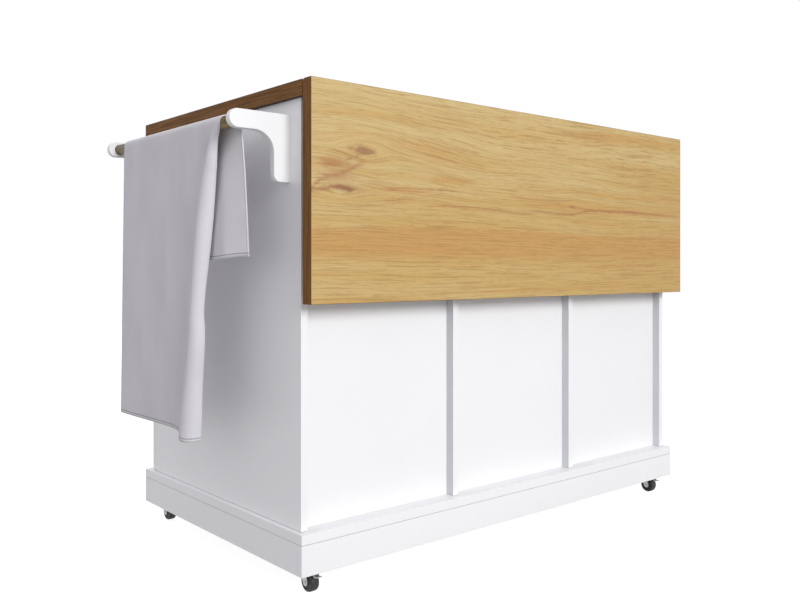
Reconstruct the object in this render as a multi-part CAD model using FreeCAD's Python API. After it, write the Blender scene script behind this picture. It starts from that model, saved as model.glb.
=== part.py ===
import FreeCAD, Part
import math
import os

# A kitchen island on casters: worktop with a hanging drop leaf, cupboard carcass with doors and drawers,
# plinth, and a towel rack with a towel over its dowel. Sizes are in millimetres and angles in degrees.
# X runs along the length towards the towel rack, Y towards the leaf at the back, Z up from the floor.

# Worktop and drop leaf
TOP_LENGTH = 1200.0
TOP_DEPTH = 680.0
TOP_THICK = 30.0
HEIGHT = 955.0
LEAF_DROP = 411.0
LEAF_THICK = 27.0
LEAF_GAP = 3.0
SWING_CLEARANCE = 0.6

# Leaf hinges: a steel gooseneck arm on the carcass, a cup with a pin in the leaf
ARM_THICK = 5.0
ARM_WIDTH = 10.0
ARM_LEG = 60.0
ARM_TOP_GAP = 1.0
HINGE_PIN_R = 3.0
CUP_WALL = 1.5
CUP_CLEARANCE = 0.5

# Leaf stays: a bar on the leaf that swings in to bear on a pad on the carcass
STAY_PIVOT_DROP = 160.0
STAY_LENGTH = 230.0
STAY_THICK = 11.0
STAY_WIDTH = 14.0
STAY_STANDOFF = 8.0
STAY_PIN_R = 3.0
STAY_CHEEK = 2.0
STAY_PLATE = 1.5
STAY_PLATE_LENGTH = 44.0
PAD_THICK = 3.0
PAD_R = 7.0

# Carcass
BOARD = 15.0
SIDE_INSET = 10.5
BACK_INSET = 18.0
BACK_RECESS = 21.0
BACK_BOARD = 9.0
RAIL_DEPTH = 70.0

# Doors and drawers at the front
FRONT_INSET = 18.0
FRONT_BOARD = 15.0
FRONT_GAP = 2.0
REVEAL = 3.0
FRONT_FRAME = 45.0
FRONT_PANEL_DEPTH = 4.0
PIVOT_R = 2.5
PIVOT_DEPTH = 10.0
PIVOT_SOCKET = 20.0
PIVOT_END_GAP = 1.0
DOOR_END_GAP = 1.0
PIVOT_FROM_EDGE = 5.0
PIVOT_FROM_INSIDE = 9.0
DOOR_KNOB_FROM_EDGE = 24.0
KNOB_R = 14.0
KNOB_REACH = 24.0
KNOB_STEM_R = 6.0
KNOB_NECK = 9.0
KNOB_BEVEL = 5.0
DRAWER_COUNT = 3
DRAWER_DEPTH = 480.0
DRAWER_WALL = 12.0
DRAWER_FLOOR = 6.0
DRAWER_SIDE_GAP = 6.0
DRAWER_BELOW = 20.0
DRAWER_ABOVE = 40.0
RUNNER_HEIGHT = 16.0
RUNNER_BITE = 4.0
RUNNER_CLEARANCE = 0.4
RUNNER_LENGTH = 470.0

# Shelves
SHELF_HEIGHT = 400.0
SHELF_CLEARANCE = 1.0
SHELF_SETBACK = 20.0
SHELF_PIN_R = 3.0
SHELF_PIN_REACH = 12.0
SHELF_PIN_FROM_END = 60.0

# Base and casters
BASE_THICK = 19.5
PLINTH_HEIGHT = 58.0
PLINTH_BOARD = 15.0
PLINTH_LIFT = 44.5
CASTER_HEIGHT = 50.0
CASTER_BLOCK = 78.0
CASTER_FROM_END = 45.0
CASTER_FROM_SIDE = 55.0
CASTER_PLATE = 44.0
CASTER_PLATE_THICK = 2.5
WHEEL_R = 19.0
WHEEL_WIDTH = 18.0
WHEEL_BEVEL = 2.0
WHEEL_RIM = 6.0
WHEEL_DISH = 2.5
WHEEL_HUB_WALL = 3.0
CASTER_TRAIL = 16.0
FORK_THICK = 2.0
FORK_RACE_R = 16.0
FORK_TAIL = -10.0
FORK_PLAY = 1.0
RIVET_HEAD = 1.0
FORK_TOP_THICK = 2.7
FORK_EYE_R = 7.0
AXLE_R = 2.5
KINGPIN_R = 4.0
KINGPIN_HEAD_R = 6.0
KINGPIN_HEAD = 1.5
BRAKE_ANGLE = 12.0
BRAKE_PIN_R = 1.2
BRAKE_BARREL_R = 2.2
BRAKE_STRIP = 1.8
BRAKE_WIDTH = 12.0
BRAKE_TAB = 11.0
BRAKE_GAP = 0.8
BRAKE_PIN_AT = 100.0
BRAKE_TIP_AT = 25.0

# Towel rack and towel
RACK_REACH = 116.5
RACK_FROM_EDGE = 70.5
BRACKET_THICK = 15.0
BRACKET_BELOW_TOP = 57.5
BRACKET_HEIGHT = 127.5
BRACKET_LEG = 34.0
BRACKET_ARM = 34.5
BRACKET_SWEEP_R = 41.0
BRACKET_CORNER_R = 13.0
DOWEL_R = 11.0
DOWEL_SOCKET = 8.0
DOWEL_FROM_TIP = 24.5
TOWEL_NEAR_GAP = 15.5
TOWEL_FAR_GAP = 58.5
TOWEL_SKEW = 19.0
TOWEL_THICK = 3.0
TOWEL_FRONT_DROP = 600.0
TOWEL_BACK_DROP = 255.0
TOWEL_FOLD_TOP = 56.0
TOWEL_ROLL_TOP_R = 8.0
TOWEL_ROLL_BOTTOM_R = 22.0
TOWEL_ROLL_IN = 44.0
TOWEL_DRAW_IN = 128.0
TOWEL_DRAW_POWER = 0.65
TOWEL_BULGE = 1.0
TOWEL_FOLD_START = -55.0
TOWEL_FOLD_END = 100.0
TOWEL_BACK_FLARE = 17.5
TOWEL_FLARE_AT = 0.5
TOWEL_FLARE_THERE = 0.7
TOWEL_FLARE_MID = 0.92

# Fits
RUNNING_FIT = 0.05
SOFT_CLEARANCE = 0.3
SIDE_PLAY = 0.3

# Levels, from the floor up
base_z = PLINTH_LIFT + PLINTH_HEIGHT
carcass_z = base_z + BASE_THICK
top_z = HEIGHT - TOP_THICK

# Depths
half_length = TOP_LENGTH / 2
half_depth = TOP_DEPTH / 2
board_back = half_depth - BACK_INSET
panel_face = board_back - BACK_RECESS
panel_inside = panel_face - BACK_BOARD
front_face = -half_depth + FRONT_INSET
front_inside = front_face + FRONT_BOARD
board_front = front_inside + FRONT_GAP

# The upright boards divide the length into three equal bays
side_outer = half_length - SIDE_INSET
side_inner = side_outer - BOARD
bay = (2 * side_inner - 2 * BOARD) / 3
divider_inner = bay / 2
divider_outer = divider_inner + BOARD
divider_mid = (divider_inner + divider_outer) / 2

# The leaf turns about a pin half its thickness below the worktop's face; its inner upper edge is rounded
# as much as it takes to swing past the worktop's edge
leaf_in = half_depth + LEAF_GAP
leaf_out = leaf_in + LEAF_THICK
leaf_z = HEIGHT - LEAF_DROP
hinge_y = leaf_in + LEAF_THICK / 2
hinge_z = HEIGHT - LEAF_THICK / 2
leaf_round = LEAF_THICK / 2 - (LEAF_GAP - SWING_CLEARANCE) / (math.sqrt(2) - 1)

# The part's origin is on the floor under the middle of its outline
rack_tip = half_length + RACK_REACH
ORIGIN = FreeCAD.Vector((rack_tip - half_length) / 2, (leaf_out + front_face - KNOB_REACH) / 2, 0)

os.makedirs("parts", exist_ok=True)


def save(name, *solids):
    """Write one node, moved so that the part's origin is the frame's."""
    shape = solids[0] if len(solids) == 1 else Part.makeCompound(list(solids))
    moved = shape.copy()
    moved.translate(-ORIGIN)
    moved.exportStep("parts/" + name + ".step")


def box(x0, x1, y0, y1, z0, z1):
    return Part.makeBox(x1 - x0, y1 - y0, z1 - z0, FreeCAD.Vector(x0, y0, z0))


def rod(radius, start, end):
    """A round bar between two points."""
    start = FreeCAD.Vector(*start)
    along = FreeCAD.Vector(*end) - start
    return Part.makeCylinder(radius, along.Length, start, along)


def line(a, b):
    return Part.LineSegment(a, b).toShape()


def arc(a, middle, b):
    return Part.Arc(a, middle, b).toShape()


def extrude(edges, along):
    return Part.Face(Part.Wire(edges)).extrude(along)


def fused(first, *others):
    return first.fuse(list(others)).removeSplitter()


def mirrored_x(shape):
    return shape.mirror(FreeCAD.Vector(0, 0, 0), FreeCAD.Vector(1, 0, 0))


# Worktop, with blind holes in its underside for the doors' upper pivots
door_hinge = side_outer - DOOR_END_GAP
pivot_x = door_hinge - PIVOT_FROM_EDGE
pivot_y = front_inside - PIVOT_FROM_INSIDE
pivot_hole = PIVOT_DEPTH + PIVOT_END_GAP


def pivot_holes(z):
    fit = PIVOT_R + RUNNING_FIT
    return [rod(fit, (x, pivot_y, z), (x, pivot_y, z + pivot_hole)) for x in (pivot_x, -pivot_x)]


def worktop():
    slab = box(-half_length, half_length, -half_depth, half_depth, top_z, HEIGHT)
    return slab.cut(pivot_holes(top_z))


save("worktop", worktop())


# Drop leaf, with a pocket in its inner face for each hinge
eye_r = ARM_WIDTH / 2
cup_reach = eye_r + CUP_CLEARANCE
neck_top = top_z - ARM_TOP_GAP
neck_low = neck_top - ARM_WIDTH
cup_foot = math.hypot(eye_r, hinge_z - neck_low) + CUP_CLEARANCE
cup_half = ARM_THICK / 2 + CUP_CLEARANCE
arm_places = [side * (inner - ARM_THICK / 2) for side in (1, -1) for inner in (side_inner, divider_inner)]


def hinge_space(x, wall):
    """The room an arm needs in the leaf at one hinge, grown by a wall."""
    return box(x - cup_half - wall, x + cup_half + wall, leaf_in, hinge_y + cup_reach + wall,
               hinge_z - cup_foot - wall, hinge_z + cup_reach + wall)


def drop_leaf():
    def at(y, z):
        return FreeCAD.Vector(-half_length, y, z)

    near = leaf_round * (1 - math.sqrt(0.5))
    corners = [at(leaf_in, HEIGHT - leaf_round), at(leaf_in, leaf_z), at(leaf_out, leaf_z),
               at(leaf_out, HEIGHT), at(leaf_in + leaf_round, HEIGHT)]
    edges = [line(a, b) for a, b in zip(corners, corners[1:])]
    edges.append(arc(corners[-1], at(leaf_in + near, HEIGHT - near), corners[0]))
    slab = extrude(edges, FreeCAD.Vector(TOP_LENGTH, 0, 0))
    return slab.cut([hinge_space(x, CUP_WALL) for x in arm_places])


save("drop_leaf", drop_leaf())


# Hinge cup, a pressed steel box open towards the carcass, with the pin across it
def hinge_cup(x):
    reach = cup_half + CUP_WALL
    cup = hinge_space(x, CUP_WALL).cut(hinge_space(x, 0))
    return fused(cup, rod(HINGE_PIN_R, (x - reach, hinge_y, hinge_z), (x + reach, hinge_y, hinge_z)))


save("leaf_hinge_cups", *[hinge_cup(x) for x in arm_places])


# Gooseneck hinge arm: its leg is screwed to an upright board, its neck passes under the worktop's edge
def hinge_arm(x):
    def at(y, z):
        return FreeCAD.Vector(x - ARM_THICK / 2, y, z)

    outer = hinge_y + eye_r
    inner = hinge_y - eye_r
    bend = eye_r * (1 - math.sqrt(0.5))
    foot = top_z - ARM_LEG
    points = [at(inner, hinge_z), at(inner, neck_top), at(panel_face, neck_top), at(panel_face, foot),
              at(board_back, foot), at(board_back, neck_low), at(outer - eye_r, neck_low)]
    edges = [line(a, b) for a, b in zip(points, points[1:])]
    edges.append(arc(points[-1], at(outer - bend, neck_low + bend), at(outer, neck_low + eye_r)))
    edges.append(line(at(outer, neck_low + eye_r), at(outer, hinge_z)))
    edges.append(arc(at(outer, hinge_z), at(hinge_y, hinge_z + eye_r), points[0]))
    plate = extrude(edges, FreeCAD.Vector(ARM_THICK, 0, 0))
    eye = HINGE_PIN_R + RUNNING_FIT
    return plate.cut(rod(eye, (x - ARM_THICK, hinge_y, hinge_z), (x + ARM_THICK, hinge_y, hinge_z)))


save("leaf_hinge_arms", *[hinge_arm(x) for x in arm_places])


# Leaf stays: at rest each hangs flat behind the leaf, in line with a divider's edge
stay_y = leaf_in - STAY_STANDOFF
stay_z = hinge_z - STAY_PIVOT_DROP
stay_end_r = STAY_THICK / 2


def leaf_stay(x):
    def at(y, z):
        return FreeCAD.Vector(x - STAY_WIDTH / 2, y, z)

    low = stay_z - STAY_LENGTH
    near = stay_y - stay_end_r
    far = stay_y + stay_end_r
    edges = [line(at(near, stay_z), at(near, low)),
             arc(at(near, low), at(stay_y, low - stay_end_r), at(far, low)),
             line(at(far, low), at(far, stay_z)),
             arc(at(far, stay_z), at(stay_y, stay_z + stay_end_r), at(near, stay_z))]
    bar = extrude(edges, FreeCAD.Vector(STAY_WIDTH, 0, 0))
    eye = STAY_PIN_R + RUNNING_FIT
    return bar.cut(rod(eye, (x - STAY_WIDTH, stay_y, stay_z), (x + STAY_WIDTH, stay_y, stay_z)))


def stay_bracket(x):
    half = STAY_WIDTH / 2 + SIDE_PLAY
    reach = half + STAY_CHEEK
    low = stay_z - STAY_PLATE_LENGTH / 2
    high = stay_z + STAY_PLATE_LENGTH / 2
    plate = box(x - reach, x + reach, leaf_in - STAY_PLATE, leaf_in, low, high)
    cheek_low = stay_z - stay_end_r - STAY_CHEEK
    cheek_high = stay_z + stay_end_r + STAY_CHEEK
    cheeks = [box(start, start + STAY_CHEEK, stay_y - stay_end_r, leaf_in, cheek_low, cheek_high)
              for start in (x - reach, x + half)]
    return fused(plate, rod(STAY_PIN_R, (x - reach, stay_y, stay_z), (x + reach, stay_y, stay_z)), *cheeks)


def stay_pad(x):
    """Rubber pad on a divider's edge where the stay's foot bears when the leaf is level."""
    foot_y = board_back + PAD_THICK + SOFT_CLEARANCE + stay_end_r
    pivot_out = hinge_y + STAY_PIVOT_DROP
    pivot_up = hinge_z - LEAF_THICK / 2 - STAY_STANDOFF
    foot_z = pivot_up - math.sqrt(STAY_LENGTH ** 2 - (pivot_out - foot_y) ** 2)
    return rod(PAD_R, (x, board_back, foot_z), (x, board_back + PAD_THICK, foot_z))


save("leaf_stay_right", leaf_stay(divider_mid))
save("leaf_stay_left", leaf_stay(-divider_mid))
save("leaf_stay_brackets", stay_bracket(divider_mid), stay_bracket(-divider_mid))
save("leaf_stay_pads", stay_pad(divider_mid), stay_pad(-divider_mid))


# Upright boards, back panels and top rails
def upright(x0, x1):
    return box(x0, x1, board_front, board_back, carcass_z, top_z)


def back_panel(x0, x1):
    return box(x0, x1, panel_inside, panel_face, carcass_z, top_z)


def top_rail(x0, x1):
    return box(x0, x1, board_front, board_front + RAIL_DEPTH, top_z - BOARD, top_z)


bay_spans = [(divider_outer, side_inner), (-divider_inner, divider_inner), (-side_inner, -divider_outer)]

save("side_panel_right", upright(side_inner, side_outer))
save("side_panel_left", upright(-side_outer, -side_inner))
save("divider_right", upright(divider_inner, divider_outer))
save("divider_left", upright(-divider_outer, -divider_inner))
for place, (low_x, high_x) in zip(("right", "middle", "left"), bay_spans):
    save("back_panel_" + place, back_panel(low_x, high_x))
save("top_rails", *[top_rail(low_x, high_x) for low_x, high_x in bay_spans])


# Base board, with blind holes for the doors' lower pivots, on four plinth boards
def base_board():
    slab = box(-half_length, half_length, -half_depth, half_depth, base_z, carcass_z)
    return slab.cut(pivot_holes(carcass_z - pivot_hole))


plinth_inner_x = half_length - PLINTH_BOARD
plinth_inner_y = half_depth - PLINTH_BOARD

save("base_board", base_board())
save("plinth_back", box(-half_length, half_length, plinth_inner_y, half_depth, PLINTH_LIFT, base_z))
save("plinth_front", box(-half_length, half_length, -half_depth, -plinth_inner_y, PLINTH_LIFT, base_z))
save("plinth_right", box(plinth_inner_x, half_length, -plinth_inner_y, plinth_inner_y, PLINTH_LIFT, base_z))
save("plinth_left", box(-half_length, -plinth_inner_x, -plinth_inner_y, plinth_inner_y, PLINTH_LIFT, base_z))


# Doors and drawer fronts: framed slabs that lie over the carcass's front edges
def framed_front(x0, x1, z0, z1):
    slab = box(x0, x1, front_face, front_inside, z0, z1)
    field = box(x0 + FRONT_FRAME, x1 - FRONT_FRAME, front_face, front_face + FRONT_PANEL_DEPTH,
                z0 + FRONT_FRAME, z1 - FRONT_FRAME)
    return slab.cut(field)


def knob(x, z, sunk):
    """A turned knob, its stem seated on the frame or, sunk by the field's depth, on the field."""
    def at(radius, out):
        return FreeCAD.Vector(x + radius, front_face - out, z)

    crown = KNOB_REACH - KNOB_BEVEL
    flat = KNOB_R - KNOB_BEVEL
    edges = [line(at(0, -sunk), at(KNOB_STEM_R, -sunk)),
             line(at(KNOB_STEM_R, -sunk), at(KNOB_STEM_R, KNOB_NECK)),
             line(at(KNOB_STEM_R, KNOB_NECK), at(KNOB_R, crown)),
             line(at(KNOB_R, crown), at(flat, KNOB_REACH)),
             line(at(flat, KNOB_REACH), at(0, KNOB_REACH)),
             line(at(0, KNOB_REACH), at(0, -sunk))]
    face = Part.Face(Part.Wire(edges))
    return face.revolve(FreeCAD.Vector(x, front_face, z), FreeCAD.Vector(0, 1, 0), 360)


front_low = carcass_z + REVEAL
front_high = top_z - REVEAL
door_free = divider_mid + REVEAL / 2


def door():
    slab = framed_front(door_free, door_hinge, front_low, front_high)
    fit = PIVOT_R + RUNNING_FIT
    ends = ((front_low, front_low + PIVOT_SOCKET), (front_high - PIVOT_SOCKET, front_high))
    return slab.cut([rod(fit, (pivot_x, pivot_y, low), (pivot_x, pivot_y, high)) for low, high in ends])


def door_pivots():
    ends = ((carcass_z - PIVOT_DEPTH, front_low + PIVOT_SOCKET),
            (front_high - PIVOT_SOCKET, top_z + PIVOT_DEPTH))
    return [rod(PIVOT_R, (pivot_x, pivot_y, low), (pivot_x, pivot_y, high)) for low, high in ends]


def door_knob():
    return knob(door_free + DOOR_KNOB_FROM_EDGE, (front_low + front_high) / 2, 0)


save("door_right", door())
save("door_left", mirrored_x(door()))
save("door_pivots_right", *door_pivots())
save("door_pivots_left", *[mirrored_x(pin) for pin in door_pivots()])
save("door_knob_right", door_knob())
save("door_knob_left", mirrored_x(door_knob()))


# Drawers: each box is grooved along its sides and hangs on two runners screwed to the dividers
drawer_half = divider_inner - DRAWER_SIDE_GAP
drawer_front_half = divider_mid - REVEAL / 2
drawer_step = (front_high - front_low + REVEAL) / DRAWER_COUNT


def drawer_low(index):
    return front_high - (index + 1) * drawer_step + REVEAL


def runner_z(index):
    box_low = drawer_low(index) + DRAWER_BELOW
    box_high = drawer_low(index) + drawer_step - REVEAL - DRAWER_ABOVE
    return (box_low + box_high) / 2


def drawer_front(index):
    low = drawer_low(index)
    return framed_front(-drawer_front_half, drawer_front_half, low, low + drawer_step - REVEAL)


def drawer_box(index):
    low = drawer_low(index) + DRAWER_BELOW
    high = drawer_low(index) + drawer_step - REVEAL - DRAWER_ABOVE
    back = front_inside + DRAWER_DEPTH
    shell = box(-drawer_half, drawer_half, front_inside, back, low, high)
    inside = box(-drawer_half + DRAWER_WALL, drawer_half - DRAWER_WALL, front_inside + DRAWER_WALL,
                 back - DRAWER_WALL, low + DRAWER_FLOOR, high)
    depth = RUNNER_BITE + RUNNER_CLEARANCE
    half_groove = RUNNER_HEIGHT / 2 + RUNNER_CLEARANCE
    middle = runner_z(index)
    grooves = [box(min(side * drawer_half, side * (drawer_half - depth)),
                   max(side * drawer_half, side * (drawer_half - depth)),
                   board_front, back, middle - half_groove, middle + half_groove) for side in (1, -1)]
    return shell.cut([inside] + grooves)


def runners(index):
    inner = drawer_half - RUNNER_BITE
    low = runner_z(index) - RUNNER_HEIGHT / 2
    high = runner_z(index) + RUNNER_HEIGHT / 2
    start = board_front + REVEAL
    right = box(inner, divider_inner, start, start + RUNNER_LENGTH, low, high)
    return [right, mirrored_x(right)]


all_runners = []
for index, place in enumerate(("top", "middle", "bottom")):
    save("drawer_front_" + place, drawer_front(index))
    save("drawer_box_" + place, drawer_box(index))
    save("drawer_knob_" + place, knob(0, drawer_low(index) + (drawer_step - REVEAL) / 2, FRONT_PANEL_DEPTH))
    all_runners += runners(index)
save("drawer_runners", *all_runners)


# Shelves on pins in the two outer bays
shelf_z = carcass_z + SHELF_HEIGHT


def shelf():
    return box(divider_outer + SHELF_CLEARANCE, side_inner - SHELF_CLEARANCE, board_front + SHELF_SETBACK,
               panel_inside - SHELF_CLEARANCE, shelf_z, shelf_z + BOARD)


def shelf_pins():
    pins = []
    for y in (board_front + SHELF_SETBACK + SHELF_PIN_FROM_END, panel_inside - SHELF_PIN_FROM_END):
        for start, step in ((divider_outer, 1), (side_inner, -1)):
            level = shelf_z - SHELF_PIN_R
            pins.append(rod(SHELF_PIN_R, (start, y, level), (start + step * SHELF_PIN_REACH, y, level)))
    return pins


save("shelf_right", shelf())
save("shelf_left", mirrored_x(shelf()))
save("shelf_pins", *shelf_pins(), *[mirrored_x(pin) for pin in shelf_pins()])


# Casters on blocks in the plinth's corners; the back pair has brakes
caster_x = half_length - CASTER_FROM_END
caster_y = half_depth - CASTER_FROM_SIDE
fork_top = CASTER_HEIGHT - CASTER_PLATE_THICK - SIDE_PLAY
fork_low = fork_top - FORK_TOP_THICK
fork_inner = WHEEL_WIDTH / 2 + FORK_PLAY
brake_orbit = WHEEL_R + FORK_PLAY + BRAKE_BARREL_R


def caster_block(side_x, side_y):
    block = box(plinth_inner_x - CASTER_BLOCK, plinth_inner_x, plinth_inner_y - CASTER_BLOCK, plinth_inner_y,
                CASTER_HEIGHT, base_z)
    if side_x < 0:
        block = mirrored_x(block)
    if side_y < 0:
        block = block.mirror(FreeCAD.Vector(0, 0, 0), FreeCAD.Vector(0, 1, 0))
    return block


def caster_plate():
    """Top plate with its riveted kingpin, on the swivel axis."""
    half = CASTER_PLATE / 2
    plate = box(-half, half, -half, half, CASTER_HEIGHT - CASTER_PLATE_THICK, CASTER_HEIGHT)
    head = fork_low - SIDE_PLAY
    pin = rod(KINGPIN_R, (0, 0, head), (0, 0, CASTER_HEIGHT))
    return fused(plate, pin, rod(KINGPIN_HEAD_R, (0, 0, head - KINGPIN_HEAD), (0, 0, head)))


def brake_pin_place():
    angle = math.radians(BRAKE_PIN_AT)
    return CASTER_TRAIL + brake_orbit * math.cos(angle), WHEEL_R + brake_orbit * math.sin(angle)


def caster_fork(braked):
    """Swivel fork with its riveted axle; the wheel trails towards +Y."""
    def at(y, z):
        return FreeCAD.Vector(fork_inner, y, z)

    race = rod(FORK_RACE_R, (0, 0, fork_low), (0, 0, fork_top))
    edges = [line(at(FORK_TAIL, fork_top), at(FORK_RACE_R, fork_top)),
             line(at(FORK_RACE_R, fork_top), at(CASTER_TRAIL + FORK_EYE_R, WHEEL_R)),
             arc(at(CASTER_TRAIL + FORK_EYE_R, WHEEL_R), at(CASTER_TRAIL, WHEEL_R - FORK_EYE_R),
                 at(CASTER_TRAIL - FORK_EYE_R, WHEEL_R)),
             line(at(CASTER_TRAIL - FORK_EYE_R, WHEEL_R), at(FORK_TAIL, fork_top))]
    cheek = extrude(edges, FreeCAD.Vector(FORK_THICK, 0, 0))
    reach = fork_inner + FORK_THICK + RIVET_HEAD
    axle = rod(AXLE_R, (-reach, CASTER_TRAIL, WHEEL_R), (reach, CASTER_TRAIL, WHEEL_R))
    outer = fork_inner + FORK_THICK
    bridge = box(-outer, outer, FORK_TAIL, FORK_RACE_R, fork_low, fork_top)
    parts = [cheek, mirrored_x(cheek), axle, bridge]
    if braked:
        y, z = brake_pin_place()
        parts.append(rod(BRAKE_PIN_R, (-reach, y, z), (reach, y, z)))
    hole = rod(KINGPIN_R + RUNNING_FIT, (0, 0, fork_low - 1.0), (0, 0, fork_top + 1.0))
    return fused(race, *parts).cut(hole)


def caster_wheel():
    """Tyre and hub turned as one, dished on both faces."""
    def at(radius, x):
        return FreeCAD.Vector(x, CASTER_TRAIL + radius, WHEEL_R)

    half = WHEEL_WIDTH / 2
    hub = fork_inner - SIDE_PLAY
    hub_r = AXLE_R + WHEEL_HUB_WALL
    rim_r = WHEEL_R - WHEEL_RIM
    bore = AXLE_R + RUNNING_FIT
    right = [at(bore, hub), at(hub_r, hub), at(hub_r, half - WHEEL_DISH), at(rim_r, half - WHEEL_DISH),
             at(rim_r, half), at(WHEEL_R - WHEEL_BEVEL, half), at(WHEEL_R, half - WHEEL_BEVEL)]
    outline = right + [at(point.y - CASTER_TRAIL, -point.x) for point in reversed(right)]
    edges = [line(a, b) for a, b in zip(outline, outline[1:] + outline[:1])]
    face = Part.Face(Part.Wire(edges))
    return face.revolve(FreeCAD.Vector(0, CASTER_TRAIL, WHEEL_R), FreeCAD.Vector(1, 0, 0), 360)


def brake_lever():
    """Pressed lever: a strip bent round the tyre with a foot tab, on a barrel; shown lifted off the tyre."""
    def at(radius, angle):
        turn = math.radians(angle)
        return FreeCAD.Vector(-BRAKE_WIDTH / 2, CASTER_TRAIL + radius * math.cos(turn),
                              WHEEL_R + radius * math.sin(turn))

    inner = WHEEL_R + BRAKE_GAP
    outer = inner + BRAKE_STRIP
    middle = (BRAKE_PIN_AT + BRAKE_TIP_AT) / 2
    edges = [arc(at(inner, BRAKE_PIN_AT), at(inner, middle), at(inner, BRAKE_TIP_AT)),
             line(at(inner, BRAKE_TIP_AT), at(outer, BRAKE_TIP_AT)),
             arc(at(outer, BRAKE_TIP_AT), at(outer, middle), at(outer, BRAKE_PIN_AT)),
             line(at(outer, BRAKE_PIN_AT), at(inner, BRAKE_PIN_AT))]
    width = FreeCAD.Vector(BRAKE_WIDTH, 0, 0)
    strip = extrude(edges, width)
    tip = at(inner, BRAKE_TIP_AT)
    low = FreeCAD.Vector(tip.x, tip.y, tip.z - BRAKE_STRIP / 2)
    up = FreeCAD.Vector(0, 0, BRAKE_STRIP)
    out = FreeCAD.Vector(0, BRAKE_TAB, 0)
    tab = extrude([line(low, low + out), line(low + out, low + out + up), line(low + out + up, low + up),
                   line(low + up, low)], width)
    y, z = brake_pin_place()
    half = fork_inner - SIDE_PLAY
    barrel = rod(BRAKE_BARREL_R, (-half, y, z), (half, y, z))
    eye = rod(BRAKE_PIN_R + RUNNING_FIT, (-half, y, z), (half, y, z))
    lever = fused(barrel, strip, tab).cut(eye)
    return lever.rotate(FreeCAD.Vector(0, y, z), FreeCAD.Vector(1, 0, 0), BRAKE_ANGLE)


def at_corner(shape, side_x, side_y):
    """Place a caster piece at a corner; the front casters are turned to trail forwards."""
    placed = shape.copy()
    if side_y < 0:
        placed.rotate(FreeCAD.Vector(0, 0, 0), FreeCAD.Vector(0, 0, 1), 180)
    placed.translate(FreeCAD.Vector(side_x * caster_x, side_y * caster_y, 0))
    return placed


corners = {"back_right": (1, 1), "back_left": (-1, 1), "front_right": (1, -1), "front_left": (-1, -1)}
save("caster_blocks", *[caster_block(*sides) for sides in corners.values()])
save("caster_plates", *[at_corner(caster_plate(), *sides) for sides in corners.values()])
for corner, sides in corners.items():
    braked = sides[1] > 0
    save("caster_fork_" + corner, at_corner(caster_fork(braked), *sides))
    save("caster_wheel_" + corner, at_corner(caster_wheel(), *sides))
    if braked:
        save("caster_brake_" + corner, at_corner(brake_lever(), *sides))


# Towel rack: two sawn brackets on the right side panel and a dowel between them
rack_z = HEIGHT - BRACKET_BELOW_TOP
dowel_x = rack_tip - DOWEL_FROM_TIP
dowel_z = rack_z - BRACKET_ARM / 2


def bracket(y):
    def at(x, z):
        return FreeCAD.Vector(x, y, z)

    low = rack_z - BRACKET_HEIGHT
    under = rack_z - BRACKET_ARM
    leg = side_outer + BRACKET_LEG
    end = rack_tip - BRACKET_ARM / 2
    sweep = BRACKET_SWEEP_R
    near = sweep * (1 - math.sqrt(0.5))
    corner = BRACKET_CORNER_R
    cut = corner * (1 - math.sqrt(0.5))
    edges = [line(at(side_outer, rack_z), at(end, rack_z)),
             arc(at(end, rack_z), at(rack_tip, dowel_z), at(end, under)),
             line(at(end, under), at(leg + sweep, under)),
             arc(at(leg + sweep, under), at(leg + near, under - near), at(leg, under - sweep)),
             line(at(leg, under - sweep), at(leg, low + corner)),
             arc(at(leg, low + corner), at(leg - cut, low + cut), at(leg - corner, low)),
             line(at(leg - corner, low), at(side_outer, low)),
             line(at(side_outer, low), at(side_outer, rack_z))]
    return extrude(edges, FreeCAD.Vector(0, BRACKET_THICK, 0))


rack_half = half_depth - RACK_FROM_EDGE
dowel_end = rack_half + DOWEL_SOCKET
dowel_socket = rod(DOWEL_R + RUNNING_FIT, (dowel_x, -dowel_end, dowel_z), (dowel_x, dowel_end, dowel_z))
save("towel_bracket_back", bracket(rack_half).cut(dowel_socket))
save("towel_bracket_front", bracket(-rack_half - BRACKET_THICK).cut(dowel_socket))
save("towel_dowel", rod(DOWEL_R, (dowel_x, -dowel_end, dowel_z), (dowel_x, dowel_end, dowel_z)))


# Towel: one sheet over the dowel, with a long outer flap whose near side rolls into one big fold and a
# short inner flap that flares towards the side panel
towel_in = DOWEL_R + SOFT_CLEARANCE
towel_out = towel_in + TOWEL_THICK
towel_mid = (towel_in + towel_out) / 2
towel_far = TOWEL_FAR_GAP - rack_half
towel_near = rack_half - TOWEL_NEAR_GAP
towel_width = towel_near - towel_far
towel_free_z = dowel_z - DOWEL_R


def cloth_section(points, normals, z, straight):
    """Outline of the sheet at one height, from the far end by the crease to the near end."""
    def shifted(index, side):
        x, y = points[index]
        nx, ny = normals[index]
        half = side * TOWEL_THICK / 2
        return FreeCAD.Vector(x + half * nx, y + half * ny, z)

    out = [shifted(index, 1) for index in range(4)]
    back = [shifted(index, -1) for index in range(4)]
    if straight:
        bends = [line(out[1], out[3]), line(back[3], back[1])]
    else:
        bends = [arc(out[1], out[2], out[3]), arc(back[3], back[2], back[1])]
    return Part.Wire([line(out[0], out[1]), bends[0], line(out[3], back[3]), bends[1],
                      line(back[1], back[0]), line(back[0], out[0])])


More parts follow.
